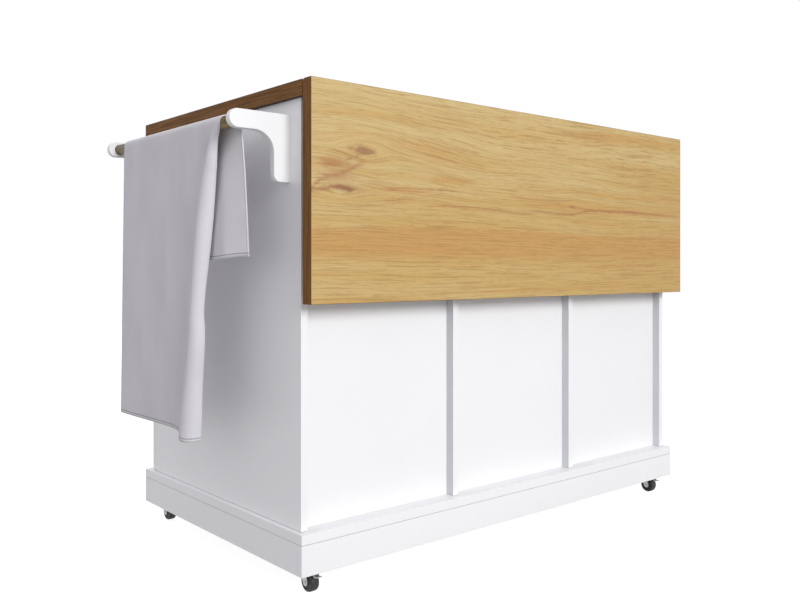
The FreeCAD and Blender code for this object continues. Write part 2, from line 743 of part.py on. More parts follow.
def outer_flap_section(share):
    """The fold is an arc that starts at a crease and rolls round towards the panel."""
    start = math.radians(TOWEL_FOLD_START)
    end = math.radians(TOWEL_FOLD_END)
    z = towel_free_z - share * (TOWEL_FRONT_DROP - DOWEL_R)
    x = dowel_x + towel_mid
    if share == 0:
        points = [(x, towel_far), (x, towel_near - TOWEL_FOLD_TOP), (x, towel_near - TOWEL_FOLD_TOP / 2),
                  (x, towel_near)]
        return cloth_section(points, [(1, 0)] * 4, z, True)
    radius = TOWEL_ROLL_TOP_R + share * (TOWEL_ROLL_BOTTOM_R - TOWEL_ROLL_TOP_R)
    centre_x = x + TOWEL_BULGE - radius
    centre_y = towel_near - TOWEL_ROLL_IN - share ** TOWEL_DRAW_POWER * TOWEL_DRAW_IN
    angles = (start, (start + end) / 2, end)
    normals = [(1, 0)] + [(math.cos(angle), math.sin(angle)) for angle in angles]
    points = [(x, towel_far - share * TOWEL_SKEW)]
    points += [(centre_x + radius * nx, centre_y + radius * ny) for nx, ny in normals[1:]]
    return cloth_section(points, normals, z, False)


def inner_flap_section(share):
    """The near end of the short flap swings towards the panel as it falls."""
    z = towel_free_z - share * (TOWEL_BACK_DROP - DOWEL_R)
    x = dowel_x - towel_mid
    crease = towel_far + towel_width * TOWEL_FLARE_AT
    middle = (crease + towel_near) / 2
    flare = share * TOWEL_BACK_FLARE
    points = [(x, towel_far), (x - flare * TOWEL_FLARE_THERE, crease),
              (x - flare * TOWEL_FLARE_MID, middle), (x - flare, towel_near)]
    return cloth_section(points, [(1, 0)] * 4, z, share == 0)


def towel_arch():
    """The stretch that lies over the dowel and hangs straight beside it."""
    def at(x, z):
        return FreeCAD.Vector(dowel_x + x, towel_far, z)

    def over(radius, side):
        return arc(at(-side * radius, dowel_z), at(0, dowel_z + radius), at(side * radius, dowel_z))

    low = towel_free_z
    edges = [line(at(-towel_out, low), at(-towel_out, dowel_z)), over(towel_out, 1),
             line(at(towel_out, dowel_z), at(towel_out, low)), line(at(towel_out, low), at(towel_in, low)),
             line(at(towel_in, low), at(towel_in, dowel_z)), over(towel_in, -1),
             line(at(-towel_in, dowel_z), at(-towel_in, low)), line(at(-towel_in, low), at(-towel_out, low))]
    return extrude(edges, FreeCAD.Vector(0, towel_width, 0))


def towel():
    outer = Part.makeLoft([outer_flap_section(share) for share in (0, 0.1, 0.3, 0.6, 1)], True, True)
    inner = Part.makeLoft([inner_flap_section(share) for share in (0, 0.4, 1)], True, True)
    return towel_arch().fuse([outer, inner])


save("towel", towel())
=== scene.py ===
import math
from functools import lru_cache

import bmesh
import bpy
from mathutils import Matrix, Vector


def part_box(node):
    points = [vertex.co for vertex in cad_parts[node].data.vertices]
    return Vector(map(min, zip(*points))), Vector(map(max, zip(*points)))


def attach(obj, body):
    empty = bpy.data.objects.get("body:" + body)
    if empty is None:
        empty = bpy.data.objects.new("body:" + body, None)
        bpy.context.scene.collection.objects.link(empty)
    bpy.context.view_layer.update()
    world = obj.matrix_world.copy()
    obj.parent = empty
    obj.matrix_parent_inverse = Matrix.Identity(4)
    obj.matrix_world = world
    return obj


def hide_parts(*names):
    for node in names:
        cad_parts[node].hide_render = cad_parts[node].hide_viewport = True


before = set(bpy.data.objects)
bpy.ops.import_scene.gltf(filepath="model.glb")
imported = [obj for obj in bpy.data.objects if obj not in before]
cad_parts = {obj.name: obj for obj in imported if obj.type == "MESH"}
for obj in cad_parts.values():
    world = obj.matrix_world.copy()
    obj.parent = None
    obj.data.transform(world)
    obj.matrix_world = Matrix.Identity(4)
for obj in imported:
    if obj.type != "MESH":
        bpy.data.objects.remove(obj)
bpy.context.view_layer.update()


# Plinth and base board: white laminated chipboard, butt-jointed and screwed, the long plinth boards running
# through at the corners. The base board lies on them. The downward-facing facets of its eased lower edge
# are painted dark grey, a painted shade line along the joint.
LAMINATE_WHITE = (248, 248, 249)
LAMINATE_DIM = (243, 243, 245)
LAMINATE_DRIFT = (5.0, 3.0)
LAMINATE_PEEL = (650.0, 2.0)
LAMINATE_ROUGHNESS = (0.36, 0.44)
LAMINATE_BUMP = (0.08, 0.0003)
NOISE_MIDDLE = (0.3, 0.7)
# Painted shade: the dark grey of the downward-facing facets along the joints
JOINT_SHADE_GREY = (136, 134, 138)
JOINT_SHADE_DIM = (124, 122, 126)
SHADED_FACET_TILT = (-0.97, -0.30)
PLINTH_EASE = 0.0010
MIX_COLOUR_INPUTS = (0, 6, 7)
MIX_COLOUR_OUTPUT = 2


def srgb(red, green, blue):
    """A colour as it is seen, 0 to 255, in the shader's own values."""
    shares = (red / 255, green / 255, blue / 255)
    return tuple(c / 12.92 if c <= 0.04045 else ((c + 0.055) / 1.055) ** 2.4 for c in shares) + (1.0,)


def new_finish(name):
    """An empty material and its shader, ready for a finish's own nodes."""
    material = bpy.data.materials.new(name)
    material.use_nodes = True
    return material, material.node_tree, material.node_tree.nodes["Principled BSDF"]


def feed(tree, socket, value):
    """Give a socket a plain value, or link it to another node's output."""
    if isinstance(value, bpy.types.NodeSocket):
        tree.links.new(value, socket)
    else:
        socket.default_value = value


def maths(tree, operation, first, second=0.0):
    node = tree.nodes.new("ShaderNodeMath")
    node.operation = operation
    feed(tree, node.inputs[0], first)
    feed(tree, node.inputs[1], second)
    return node.outputs[0]


def mixed(tree, amount, first, second):
    """A colour part of the way from the first to the second."""
    node = tree.nodes.new("ShaderNodeMix")
    node.data_type = "RGBA"
    for index, value in zip(MIX_COLOUR_INPUTS, (amount, first, second)):
        feed(tree, node.inputs[index], value)
    return node.outputs[MIX_COLOUR_OUTPUT]


def ranged(tree, value, low, high, start=0.0, end=1.0):
    """Map low..high smoothly to start..end and hold it there."""
    node = tree.nodes.new("ShaderNodeMapRange")
    node.interpolation_type = "SMOOTHSTEP"
    for socket, item in zip(node.inputs, (value, low, high, start, end)):
        feed(tree, socket, item)
    return node.outputs[0]


def noise(tree, place, scale, detail=2.0, roughness=0.5):
    node = tree.nodes.new("ShaderNodeTexNoise")
    feed(tree, node.inputs["Vector"], place)
    feed(tree, node.inputs["Scale"], scale)
    feed(tree, node.inputs["Detail"], detail)
    feed(tree, node.inputs["Roughness"], roughness)
    return node.outputs[0]


def raised(tree, shader, height, strength, depth):
    """Bump from a height, depth metres for a full step."""
    node = tree.nodes.new("ShaderNodeBump")
    feed(tree, node.inputs["Strength"], strength)
    feed(tree, node.inputs["Distance"], depth)
    feed(tree, node.inputs["Height"], height)
    tree.links.new(node.outputs["Normal"], shader.inputs["Normal"])


def place_on(tree, socket="Object"):
    return tree.nodes.new("ShaderNodeTexCoord").outputs[socket]


def melamine(name, tone, dim):
    """Satin melamine: a faint orange-peel skin and hardly any drift in tone."""
    material, tree, shader = new_finish(name)
    place = place_on(tree)
    drift = noise(tree, place, *LAMINATE_DRIFT)
    peel = noise(tree, place, *LAMINATE_PEEL)
    tree.links.new(mixed(tree, drift, srgb(*dim), srgb(*tone)), shader.inputs["Base Color"])
    tree.links.new(ranged(tree, drift, *NOISE_MIDDLE, *LAMINATE_ROUGHNESS), shader.inputs["Roughness"])
    raised(tree, shader, peel, *LAMINATE_BUMP)
    return material


laminate = melamine("white_laminate", LAMINATE_WHITE, LAMINATE_DIM)
# Painted shade for the joint lines
joint_shade = melamine("painted_joint_shade", JOINT_SHADE_GREY, JOINT_SHADE_DIM)


def piece_from(shape, name, materials, body, node):
    """Turn a finished bmesh into a piece that stands for a CAD node and moves with its body."""
    mesh = bpy.data.meshes.new(name)
    shape.to_mesh(mesh)
    shape.free()
    piece = bpy.data.objects.new(name, mesh)
    bpy.context.scene.collection.objects.link(piece)
    for material in materials:
        mesh.materials.append(material)
    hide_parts(node)
    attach(piece, body)
    return piece


def box_shape(node):
    """A plain block as large as a CAD node and in its place."""
    low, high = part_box(node)
    shape = bmesh.new()
    bmesh.ops.create_cube(shape, size=1.0)
    bmesh.ops.scale(shape, vec=high - low, verts=shape.verts)
    bmesh.ops.translate(shape, vec=(low + high) / 2, verts=shape.verts)
    return shape


def ease_edges(shape, edges, width, segments=2):
    bmesh.ops.bevel(shape, geom=edges, offset=width, affect="EDGES", segments=segments, profile=0.5,
                    material=-1)


def paint_joint_shade(shape, index):
    """Painted shade: the downward-facing facets of an eased lower edge take the dark grey finish, a fine
    shaded line along the joint.
    """
    for face in shape.faces:
        if SHADED_FACET_TILT[0] < face.normal.z < SHADED_FACET_TILT[1]:
            face.material_index = index


def white_board(node, ease):
    shape = box_shape(node)
    ease_edges(shape, shape.edges[:], ease)
    piece_from(shape, node + "_piece", [laminate], "island", node)


for plinth_board in ("plinth_back", "plinth_front", "plinth_right", "plinth_left"):
    white_board(plinth_board, PLINTH_EASE)

base_shape = box_shape("base_board")
ease_edges(base_shape, base_shape.edges[:], PLINTH_EASE)
paint_joint_shade(base_shape, 1)
piece_from(base_shape, "base_board_piece", [laminate, joint_shade], "island", "base_board")


# Carcass: side panels, dividers, recessed back panels, shelves and top rails, all of the same board,
# doweled and screwed. The uprights' back edges stand proud of the back panels as narrow ribs. Their
# faces towards the bays are painted light grey, painted shade for the ribs' sides in the recesses.
CARCASS_EASE = 0.0008
# Painted shade: the light grey of the uprights' faces towards the bays
BAY_SHADE_GREY = (213, 213, 218)
BAY_SHADE_DIM = (208, 208, 213)
SHADED_BAY_SIDES = {"side_panel_right": (-1,), "side_panel_left": (1,),
               "divider_right": (-1, 1), "divider_left": (-1, 1)}
SQUARE_ON = 0.99

# Painted shade for the ribs' sides in the recesses
bay_shade_laminate = melamine("bay_shade_laminate", BAY_SHADE_GREY, BAY_SHADE_DIM)


def upright(node, shaded_sides):
    """A white board whose faces towards the bays, given by their signs along X, are painted light grey as
    painted shade.
    """
    shape = box_shape(node)
    ease_edges(shape, shape.edges[:], CARCASS_EASE)
    for face in shape.faces:
        if any(face.normal.x * side > SQUARE_ON for side in shaded_sides):
            face.material_index = 1
    paint_joint_shade(shape, 2)
    piece_from(shape, node + "_piece", [laminate, bay_shade_laminate, joint_shade], "island", node)


def dress(node, material):
    """Give a CAD node that keeps its own shape a finished material."""
    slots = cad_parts[node].data.materials
    slots.clear()
    slots.append(material)


for upright_board, facing in SHADED_BAY_SIDES.items():
    upright(upright_board, facing)
for carcass_board in ("back_panel_right", "back_panel_middle", "back_panel_left",
                      "shelf_right", "shelf_left"):
    white_board(carcass_board, CARCASS_EASE)
dress("top_rails", laminate)


# Doors and drawer fronts: framed slabs with a shallow sunk field, on the side away from the leaf. The
# doors turn on pivot pins in the worktop and base board; the fronts are screwed to the drawer boxes.
FRONT_FRAME = 0.045
FIELD_DEPTH = 0.004
FIELD_SLOPE = 0.0015
FRONT_EASE = 0.0012
FRONT_CORNER = math.radians(40)
DRAWERS = ("top", "middle", "bottom")
ZINC_TONE = (186, 188, 190)
ZINC_ROUGHNESS = 0.34
SCRATCH_STRETCH = (90.0, 900.0, 900.0)
SCRATCH_NOISE = (1.0, 3.0, 0.6)
SCRATCH_SHADE = 0.82
SCRATCH_BUMP = (0.06, 0.0001)
STEEL_CLOUD = (60.0, 2.0)
STEEL_WEAR = (0.85, 1.2)


def sharp_edges(shape, angle):
    return [edge for edge in shape.edges if len(edge.link_faces) == 2 and edge.calc_face_angle() > angle]


def framed_front(node, body):
    shape = box_shape(node)
    face = min(shape.faces, key=lambda f: f.calc_center_median().y)
    bmesh.ops.inset_region(shape, faces=[face], thickness=FRONT_FRAME)
    bmesh.ops.inset_region(shape, faces=[face], thickness=FIELD_SLOPE, depth=-FIELD_DEPTH)
    ease_edges(shape, sharp_edges(shape, FRONT_CORNER), FRONT_EASE)
    piece_from(shape, node + "_piece", [laminate], body, node)


def stretched(tree, place, scale):
    """A place with its own scale along each axis."""
    node = tree.nodes.new("ShaderNodeMapping")
    feed(tree, node.inputs["Vector"], place)
    feed(tree, node.inputs["Scale"], scale)
    return node.outputs["Vector"]


def brushed_steel(name, tone, roughness):
    """Plated steel with fine drawn scratches."""
    material, tree, shader = new_finish(name)
    place = place_on(tree)
    scratch = noise(tree, stretched(tree, place, SCRATCH_STRETCH), *SCRATCH_NOISE)
    cloud = noise(tree, place, *STEEL_CLOUD)
    dark = tuple(round(c * SCRATCH_SHADE) for c in tone)
    smooth, worn = (roughness * share for share in STEEL_WEAR)
    tree.links.new(mixed(tree, scratch, srgb(*dark), srgb(*tone)), shader.inputs["Base Color"])
    tree.links.new(ranged(tree, cloud, *NOISE_MIDDLE, smooth, worn), shader.inputs["Roughness"])
    shader.inputs["Metallic"].default_value = 1.0
    raised(tree, shader, scratch, *SCRATCH_BUMP)
    return material


zinc = brushed_steel("zinc_plate", ZINC_TONE, ZINC_ROUGHNESS)
for side in ("right", "left"):
    framed_front("door_" + side, "door_" + side)
    dress("door_pivots_" + side, zinc)
for drawer in DRAWERS:
    framed_front("drawer_front_" + drawer, "drawer_" + drawer)
    dress("drawer_box_" + drawer, laminate)
dress("drawer_runners", zinc)
dress("shelf_pins", zinc)


# Knobs: turned from solid metal and plated with satin nickel, a slim neck under a rounded cap. Each is held
# by a screw from inside its door or drawer front.
NICKEL_TONE = (176, 174, 170)
NICKEL_ROUGHNESS = 0.3
KNOB_STEPS = 40
KNOB_PROFILE = ((0.0, 0.0068), (0.18, 0.0060), (0.36, 0.0066), (0.56, 0.0112), (0.70, 0.0137),
                (0.82, 0.0139), (0.92, 0.0124), (0.98, 0.0085), (1.0, 0.0))
SPIN_WELD = 1e-6

nickel = brushed_steel("satin_nickel", NICKEL_TONE, NICKEL_ROUGHNESS)


def spun(points, closed, middle, axis, steps):
    """A smooth solid from an outline turned once round its axis; an open outline's ends are capped."""
    shape = bmesh.new()
    outline = [shape.verts.new(point) for point in points]
    following = outline[1:] + outline[:1] if closed else outline[1:]
    edges = [shape.edges.new(pair) for pair in zip(outline, following)]
    bmesh.ops.spin(shape, geom=outline + edges, cent=middle, axis=axis, angle=2 * math.pi, steps=steps,
                   use_merge=True)
    bmesh.ops.remove_doubles(shape, verts=shape.verts, dist=SPIN_WELD)
    if not closed:
        bmesh.ops.holes_fill(shape, edges=[edge for edge in shape.edges if edge.is_boundary])
    bmesh.ops.recalc_face_normals(shape, faces=shape.faces)
    for face in shape.faces:
        face.smooth = True
    return shape


def knob(node, body):
    """The outline's places are shares of the knob's height, from the front that it stands on."""
    low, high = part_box(node)
    middle = (low + high) / 2
    outline = [(middle.x + radius, high.y - share * (high.y - low.y), middle.z)
               for share, radius in KNOB_PROFILE]
    shape = spun(outline, False, middle, (0, 1, 0), KNOB_STEPS)
    piece_from(shape, node + "_piece", [nickel], body, node)


for side in ("right", "left"):
    knob("door_knob_" + side, "door_" + side)
for drawer in DRAWERS:
    knob("drawer_knob_" + drawer, "drawer_" + drawer)


# Worktop and drop leaf: chipboard faced with oak-print laminate whose grain runs along the length, and
# banded on every edge with a darker brown strip. The leaf carries its hinge cups in pockets on its inside.
OAK_PALE = (205, 181, 127)
OAK_GOLD = (197, 163, 101)
OAK_ORANGE = (195, 149, 89)
OAK_LINE = (158, 118, 68)
OAK_VEIN = (164, 112, 76)
OAK_KNOT = (140, 97, 70)
OAK_ROUGHNESS = (0.48, 0.58)
OAK_SHINE = 0.3
OAK_BUMP = (0.10, 0.0003)
PORE_HEIGHT = 0.6
BAND_BROWN = (136, 95, 51)
BAND_DARK = (104, 70, 36)
BAND_STRETCH_ALONG = 7.0
BAND_STRETCH_ACROSS = 330.0
BAND_GRAIN = (1.0, 4.0, 0.65)
BAND_RANGE = (0.38, 0.66)
BAND_ROUGHNESS = (0.5, 0.62)
BAND_SHINE = 0.08
BAND_BUMP = (0.08, 0.0003)
# Painted shade: near-black brown for the worktop's underside, in shadow under the overhang
UNDERSIDE_SHADE_BROWN = (58, 42, 29)
UNDERSIDE_SHADE_DARK = (40, 29, 20)
UNDERSIDE_MOTTLE = (90.0, 4.0, 0.6)
UNDERSIDE_ROUGHNESS = (0.75, 0.85)
UNDERSIDE_BUMP = (0.1, 0.0002)
TOP_EASE = 0.0007
BOARD_CORNER = math.radians(60)
END_FACING = 0.7
MESH_WELD = 1e-5
FLAT_LIMIT = math.radians(1.0)
LEAF_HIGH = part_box("drop_leaf")[1]
TOP_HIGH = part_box("worktop")[1]
X, Y, Z = range(3)

# Marks in the leaf's print, in metres from its towel end and below its top edge. A knot, smudge or cloud
# has its place and half sizes; a vein has its points, half width and depth of tone
KNOTS = ((0.111, 0.1228, 0.0205, 0.0080), (0.133, 0.1256, 0.0160, 0.0050),
         (0.059, 0.1958, 0.0190, 0.0048), (0.086, 0.1990, 0.0170, 0.0042),
         (0.741, 0.2028, 0.0105, 0.0044))
SMUDGES = ((0.045, 0.1500, 0.0340, 0.0110), (0.115, 0.1250, 0.0340, 0.0130),
           (0.060, 0.1760, 0.0480, 0.0120), (0.085, 0.1980, 0.0520, 0.0085))
CLOUDS = ((0.045, 0.1500, 0.0300, 0.0090), (0.210, 0.1930, 0.0900, 0.0080),
          (0.350, 0.1660, 0.0700, 0.0090), (0.680, 0.2010, 0.0800, 0.0060),
          (1.129, 0.1615, 0.0300, 0.0070), (0.940, 0.2060, 0.2200, 0.0060))
VEINS = ((((0.074, 0.1477), (0.092, 0.1401), (0.116, 0.1295)), 0.0014, 1.2),
         (((-0.02, 0.2030), (0.017, 0.1857), (0.063, 0.1712), (0.087, 0.1612), (0.106, 0.1523),
           (0.134, 0.1436)), 0.0050, 0.95),
         (((0.016, 0.1580), (0.050, 0.1545), (0.074, 0.1540), (0.098, 0.1500)), 0.0044, 0.7),
         (((-0.02, 0.2040), (0.033, 0.2001), (0.057, 0.1938), (0.081, 0.1973), (0.104, 0.2020)),
          0.0040, 1.0),
         (((0.150, 0.1925), (0.189, 0.1908), (0.230, 0.1885), (0.277, 0.1875), (0.390, 0.1878)),
          0.0014, 1.1),
         (((0.165, 0.1985), (0.191, 0.1938), (0.209, 0.1941), (0.253, 0.1942), (0.300, 0.1918)),
          0.0013, 0.8),
         (((0.165, 0.2150), (0.222, 0.2122)), 0.0012, 0.7),
         (((0.255, 0.2217), (0.343, 0.2194), (0.401, 0.2179), (0.477, 0.2203), (0.545, 0.2253),
           (0.640, 0.2270)), 0.0015, 1.0),
         (((0.540, 0.2160), (0.638, 0.2185), (0.744, 0.2195), (0.791, 0.2112), (0.886, 0.2072),
           (1.049, 0.2074), (1.230, 0.2102)), 0.0025, 1.3),
         (((0.735, 0.2028), (0.791, 0.2059), (0.920, 0.2050)), 0.0014, 0.8),
         (((0.510, 0.1850), (0.574, 0.1913), (0.676, 0.1913), (0.760, 0.1860)), 0.0016, 0.75))
PRINT_LENGTH = 1.2
VEIN_FADE = 0.2
VEIN_SHARE = 0.85
VEIN_BREAKS = (0.30, 0.62, 0.45, 1.0)
KNOT_REACH = (3.5, 5.0)
KNOT_PUSH = 0.6
KNOT_SHARE = 0.85
KNOT_RANGE = (0.12, 1.0)
KNOT_BREAKS = (0.35, 0.60, 0.65, 1.0)
CLOUD_SHARE = 0.75
SMUDGE_SHARE = 0.45
MARK_RANGE = (0.1, 1.0)

# The orange streak and the dip in the grain: where across the sheet each sets in, is full, fades and ends
ORANGE_STREAK = (0.262, 0.272, 0.308, 0.342)
STREAK_WANDER = 0.02
STREAK_SHARE = 0.8
DIP_ACROSS = (0.0, 0.11, 0.15, 0.26)
DIP_ALONG = (0.12, 0.50)
DIP_DEPTH = 0.026

# The print's noises: stretch along and across the grain, step to another layer, detail and roughness
GRAIN = {"drift": (1.5, 5.0, 0.0, 2.0, 0.5), "ragged": (55.0, 190.0, 0.0, 4.0, 0.65),
         "tone": (1.0, 30.0, 0.0, 3.0, 0.55), "warmth": (1.6, 60.0, 7.0, 3.0, 0.6),
         "fibres": (11.0, 340.0, 0.0, 4.0, 0.7), "strands": (4.5, 230.0, 3.0, 3.0, 0.55),
         "ticks": (40.0, 420.0, 5.0, 2.0, 0.6), "pores": (60.0, 1000.0, 0.0, 2.0, 0.6),
         "rays": (130.0, 45.0, 0.0, 2.0, 0.6)}
GRAIN_WANDER = 0.035
FRAY = 0.007
FRAY_ALONG = 4.0
TEAR_ALONG = 6.0
LEAF_LAYER = 0.0
TOP_LAYER = 11.0

# How a noise tints the print: where it sets in and is full, its share and its colour
TINTS = {"warmth": (0.52, 0.72, 0.50, OAK_ORANGE), "strands": (0.52, 0.64, 0.34, OAK_LINE),
         "fibres": (0.50, 0.62, 0.42, OAK_LINE), "ticks": (0.54, 0.66, 0.22, OAK_LINE),
         "pores": (0.60, 0.72, 0.25, OAK_LINE), "rays": (0.66, 0.78, 0.18, OAK_ORANGE)}
RIPER_ALONG = 0.14
RIPER_ACROSS = 0.40
RIPE_RANGE = (0.44, 0.78)


def along_and_across(tree, origin, across_axis):
    """Metres along the grain from the towel end, and across it from the leaf's top or the worktop's back."""
    split = tree.nodes.new("ShaderNodeSeparateXYZ")
    tree.links.new(place_on(tree), split.inputs[0])
    along = maths(tree, "SUBTRACT", origin.x, split.outputs["X"])
    across = maths(tree, "SUBTRACT", origin[across_axis], split.outputs[across_axis])
    return along, across


def grain_noise(tree, along, across, layer, kind):
    """One of the print's noises, stretched along the grain."""
    along_scale, across_scale, step, detail, roughness = GRAIN[kind]
    join = tree.nodes.new("ShaderNodeCombineXYZ")
    feed(tree, join.inputs["X"], maths(tree, "MULTIPLY", along, along_scale))
    feed(tree, join.inputs["Y"], maths(tree, "MULTIPLY", across, across_scale))
    feed(tree, join.inputs["Z"], layer + step)
    return noise(tree, join.outputs[0], 1.0, detail, roughness)


def swing(tree, pattern, reach):
    """A noise that swings either way about nothing."""
    return maths(tree, "MULTIPLY", maths(tree, "SUBTRACT", pattern, 0.5), reach)


def plateau(tree, value, edges, height=1.0):
    """Rise to a height between the first two edges and fall back between the last two."""
    first, full, fading, last = edges
    return maths(tree, "MULTIPLY", ranged(tree, value, first, full, 0.0, height),
                 ranged(tree, value, fading, last, 1.0, 0.0))


def near_mark(tree, along, across, mark):
    """1 in the middle of a mark, falling away to 0 over about its size."""
    at_along, at_across, long, wide = mark
    first = maths(tree, "DIVIDE", maths(tree, "SUBTRACT", along, at_along), long)
    second = maths(tree, "DIVIDE", maths(tree, "SUBTRACT", across, at_across), wide)
    square = maths(tree, "ADD", maths(tree, "POWER", first, 2.0), maths(tree, "POWER", second, 2.0))
    return maths(tree, "EXPONENT", maths(tree, "MULTIPLY", square, -1.0))


def on_vein(tree, along, across, points, width, depth):
    """The vein's depth of tone on a smooth curve through its points, with soft ends."""
    bend = tree.nodes.new("ShaderNodeFloatCurve")
    line = bend.mapping.curves[0].points
    shares = [(min(max(place / PRINT_LENGTH, 0.0), 1.0), below) for place, below in points]
    line[0].location, line[1].location = shares[0], shares[-1]
    for share in shares[1:-1]:
        line.new(*share)
    bend.mapping.update()
    feed(tree, bend.inputs["Value"], maths(tree, "DIVIDE", along, PRINT_LENGTH))
    off = maths(tree, "DIVIDE", maths(tree, "SUBTRACT", across, bend.outputs[0]), width)
    ridge = maths(tree, "EXPONENT", maths(tree, "MULTIPLY", maths(tree, "POWER", off, 2.0), -1.0))
    start, end = points[0][0], points[-1][0]
    fade = VEIN_FADE * (end - start)
    ends = plateau(tree, along, (start, start + fade, end - fade, end), depth)
    return maths(tree, "MULTIPLY", ridge, ends)


def total(tree, values):
    result = values[0]
    for value in values[1:]:
        result = maths(tree, "ADD", result, value)
    return result


def tinted(tree, colour, amount, share, tint):
    """Lay a tint over a colour, where amount is 1, by a share."""
    return mixed(tree, maths(tree, "MULTIPLY", amount, share), colour, srgb(*tint))


def grained(tree, colour, grain, kind):
    """Lay one noise's tint over the print."""
    start, full, share, tint = TINTS[kind]
    return tinted(tree, colour, ranged(tree, grain[kind], start, full), share, tint)


def oak_laminate(name, origin, across_axis, layer, knots, smudges, clouds, veins):
    """Oak print: broad tone, fibres that part round the knots, veins, pores and a satin skin."""
    material, tree, shader = new_finish(name)
    along, across = along_and_across(tree, origin, across_axis)
    drift = grain_noise(tree, along, across, layer, "drift")
    bent = maths(tree, "ADD", across, swing(tree, drift, GRAIN_WANDER))
    for at_along, at_across, long, wide in knots:
        reach = (at_along, at_across, long * KNOT_REACH[0], wide * KNOT_REACH[1])
        around = near_mark(tree, along, across, reach)
        push = maths(tree, "MULTIPLY", maths(tree, "SUBTRACT", across, at_across), around)
        bent = maths(tree, "SUBTRACT", bent, maths(tree, "MULTIPLY", push, KNOT_PUSH))
    dip = plateau(tree, across, DIP_ACROSS, DIP_DEPTH)
    bent = maths(tree, "SUBTRACT", bent, maths(tree, "MULTIPLY", dip, ranged(tree, along, *DIP_ALONG)))
    shake = swing(tree, grain_noise(tree, along, across, layer, "ragged"), FRAY)
    frayed = maths(tree, "ADD", across, shake)
    frayed_along = maths(tree, "ADD", along, maths(tree, "MULTIPLY", shake, FRAY_ALONG))
    torn = maths(tree, "ADD", frayed, shake)
    torn_along = maths(tree, "ADD", frayed_along, maths(tree, "MULTIPLY", shake, TEAR_ALONG))
    grain = {kind: grain_noise(tree, along, bent, layer, kind)
             for kind in ("tone", "warmth", "fibres", "strands", "ticks", "pores")}
    grain["rays"] = grain_noise(tree, along, across, layer, "rays")

    leaning = maths(tree, "ADD", maths(tree, "MULTIPLY", along, RIPER_ALONG),
                    maths(tree, "MULTIPLY", across, RIPER_ACROSS))
    ripened = maths(tree, "ADD", grain["tone"], leaning)
    colour = mixed(tree, ranged(tree, ripened, *RIPE_RANGE), srgb(*OAK_PALE), srgb(*OAK_GOLD))
    uneven = maths(tree, "ADD", swing(tree, grain["tone"], STREAK_WANDER), shake)
    streak = plateau(tree, maths(tree, "ADD", across, uneven), ORANGE_STREAK)
    colour = tinted(tree, colour, streak, STREAK_SHARE, OAK_ORANGE)
    colour = grained(tree, colour, grain, "warmth")
    if clouds:
        washed = total(tree, [near_mark(tree, frayed_along, frayed, cloud) for cloud in clouds])
        colour = tinted(tree, colour, ranged(tree, washed, *MARK_RANGE), CLOUD_SHARE, OAK_ORANGE)
    if smudges:
        smudged = total(tree, [near_mark(tree, torn_along, torn, smudge) for smudge in smudges])
        colour = tinted(tree, colour, ranged(tree, smudged, *MARK_RANGE), SMUDGE_SHARE, OAK_VEIN)
    for kind in ("strands", "fibres", "ticks", "pores", "rays"):
        colour = grained(tree, colour, grain, kind)
    if veins:
        drawn = total(tree, [on_vein(tree, frayed_along, frayed, *vein) for vein in veins])
        broken = ranged(tree, grain["fibres"], *VEIN_BREAKS)
        drawn = maths(tree, "MULTIPLY", maths(tree, "MINIMUM", drawn, 1.0), broken)
        colour = tinted(tree, colour, drawn, VEIN_SHARE, OAK_VEIN)
    if knots:
        eyes = total(tree, [near_mark(tree, torn_along, torn, knot) for knot in knots])
        broken = ranged(tree, grain["fibres"], *KNOT_BREAKS)
        eyes = maths(tree, "MULTIPLY", ranged(tree, eyes, *KNOT_RANGE), broken)
        colour = tinted(tree, colour, eyes, KNOT_SHARE, OAK_KNOT)
    tree.links.new(colour, shader.inputs["Base Color"])
    tree.links.new(ranged(tree, grain["fibres"], *NOISE_MIDDLE, *OAK_ROUGHNESS), shader.inputs["Roughness"])
    shader.inputs["Specular IOR Level"].default_value = OAK_SHINE
    height = maths(tree, "ADD", grain["fibres"], maths(tree, "MULTIPLY", grain["pores"], PORE_HEIGHT))
    raised(tree, shader, height, *OAK_BUMP)
    return material


def edge_band(name, grain_axis):
    """Dark brown wood-print edge strip with a fine grain along one axis."""
    material, tree, shader = new_finish(name)
    scale = [BAND_STRETCH_ALONG if axis == grain_axis else BAND_STRETCH_ACROSS for axis in (X, Y, Z)]
    grain = noise(tree, stretched(tree, place_on(tree), scale), *BAND_GRAIN)
    shade = ranged(tree, grain, *BAND_RANGE)
    tree.links.new(mixed(tree, shade, srgb(*BAND_BROWN), srgb(*BAND_DARK)), shader.inputs["Base Color"])
    tree.links.new(ranged(tree, grain, *NOISE_MIDDLE, *BAND_ROUGHNESS), shader.inputs["Roughness"])
    shader.inputs["Specular IOR Level"].default_value = BAND_SHINE
    raised(tree, shader, grain, *BAND_BUMP)
    return material


def painted_underside_shade():
    """Painted shade: the worktop's underside takes a near-black brown for the shadow under its overhang; dull
    and a little mottled.
    """
    material, tree, shader = new_finish("painted_underside_shade")
    mottle = noise(tree, place_on(tree), *UNDERSIDE_MOTTLE)
    tree.links.new(mixed(tree, mottle, srgb(*UNDERSIDE_SHADE_DARK), srgb(*UNDERSIDE_SHADE_BROWN)), shader.inputs["Base Color"])
    tree.links.new(ranged(tree, mottle, *NOISE_MIDDLE, *UNDERSIDE_ROUGHNESS), shader.inputs["Roughness"])
    raised(tree, shader, mottle, *UNDERSIDE_BUMP)
    return material


oak_leaf = oak_laminate("oak_leaf", LEAF_HIGH, Z, LEAF_LAYER, KNOTS, SMUDGES, CLOUDS, VEINS)
oak_top = oak_laminate("oak_top", TOP_HIGH, Y, TOP_LAYER, (), (), (), ())
long_band = edge_band("oak_band_long", X)
top_end_band = edge_band("oak_band_top_end", Y)
leaf_end_band = edge_band("oak_band_leaf_end", Z)
# Painted shade on the worktop's underside
underside_shade = painted_underside_shade()


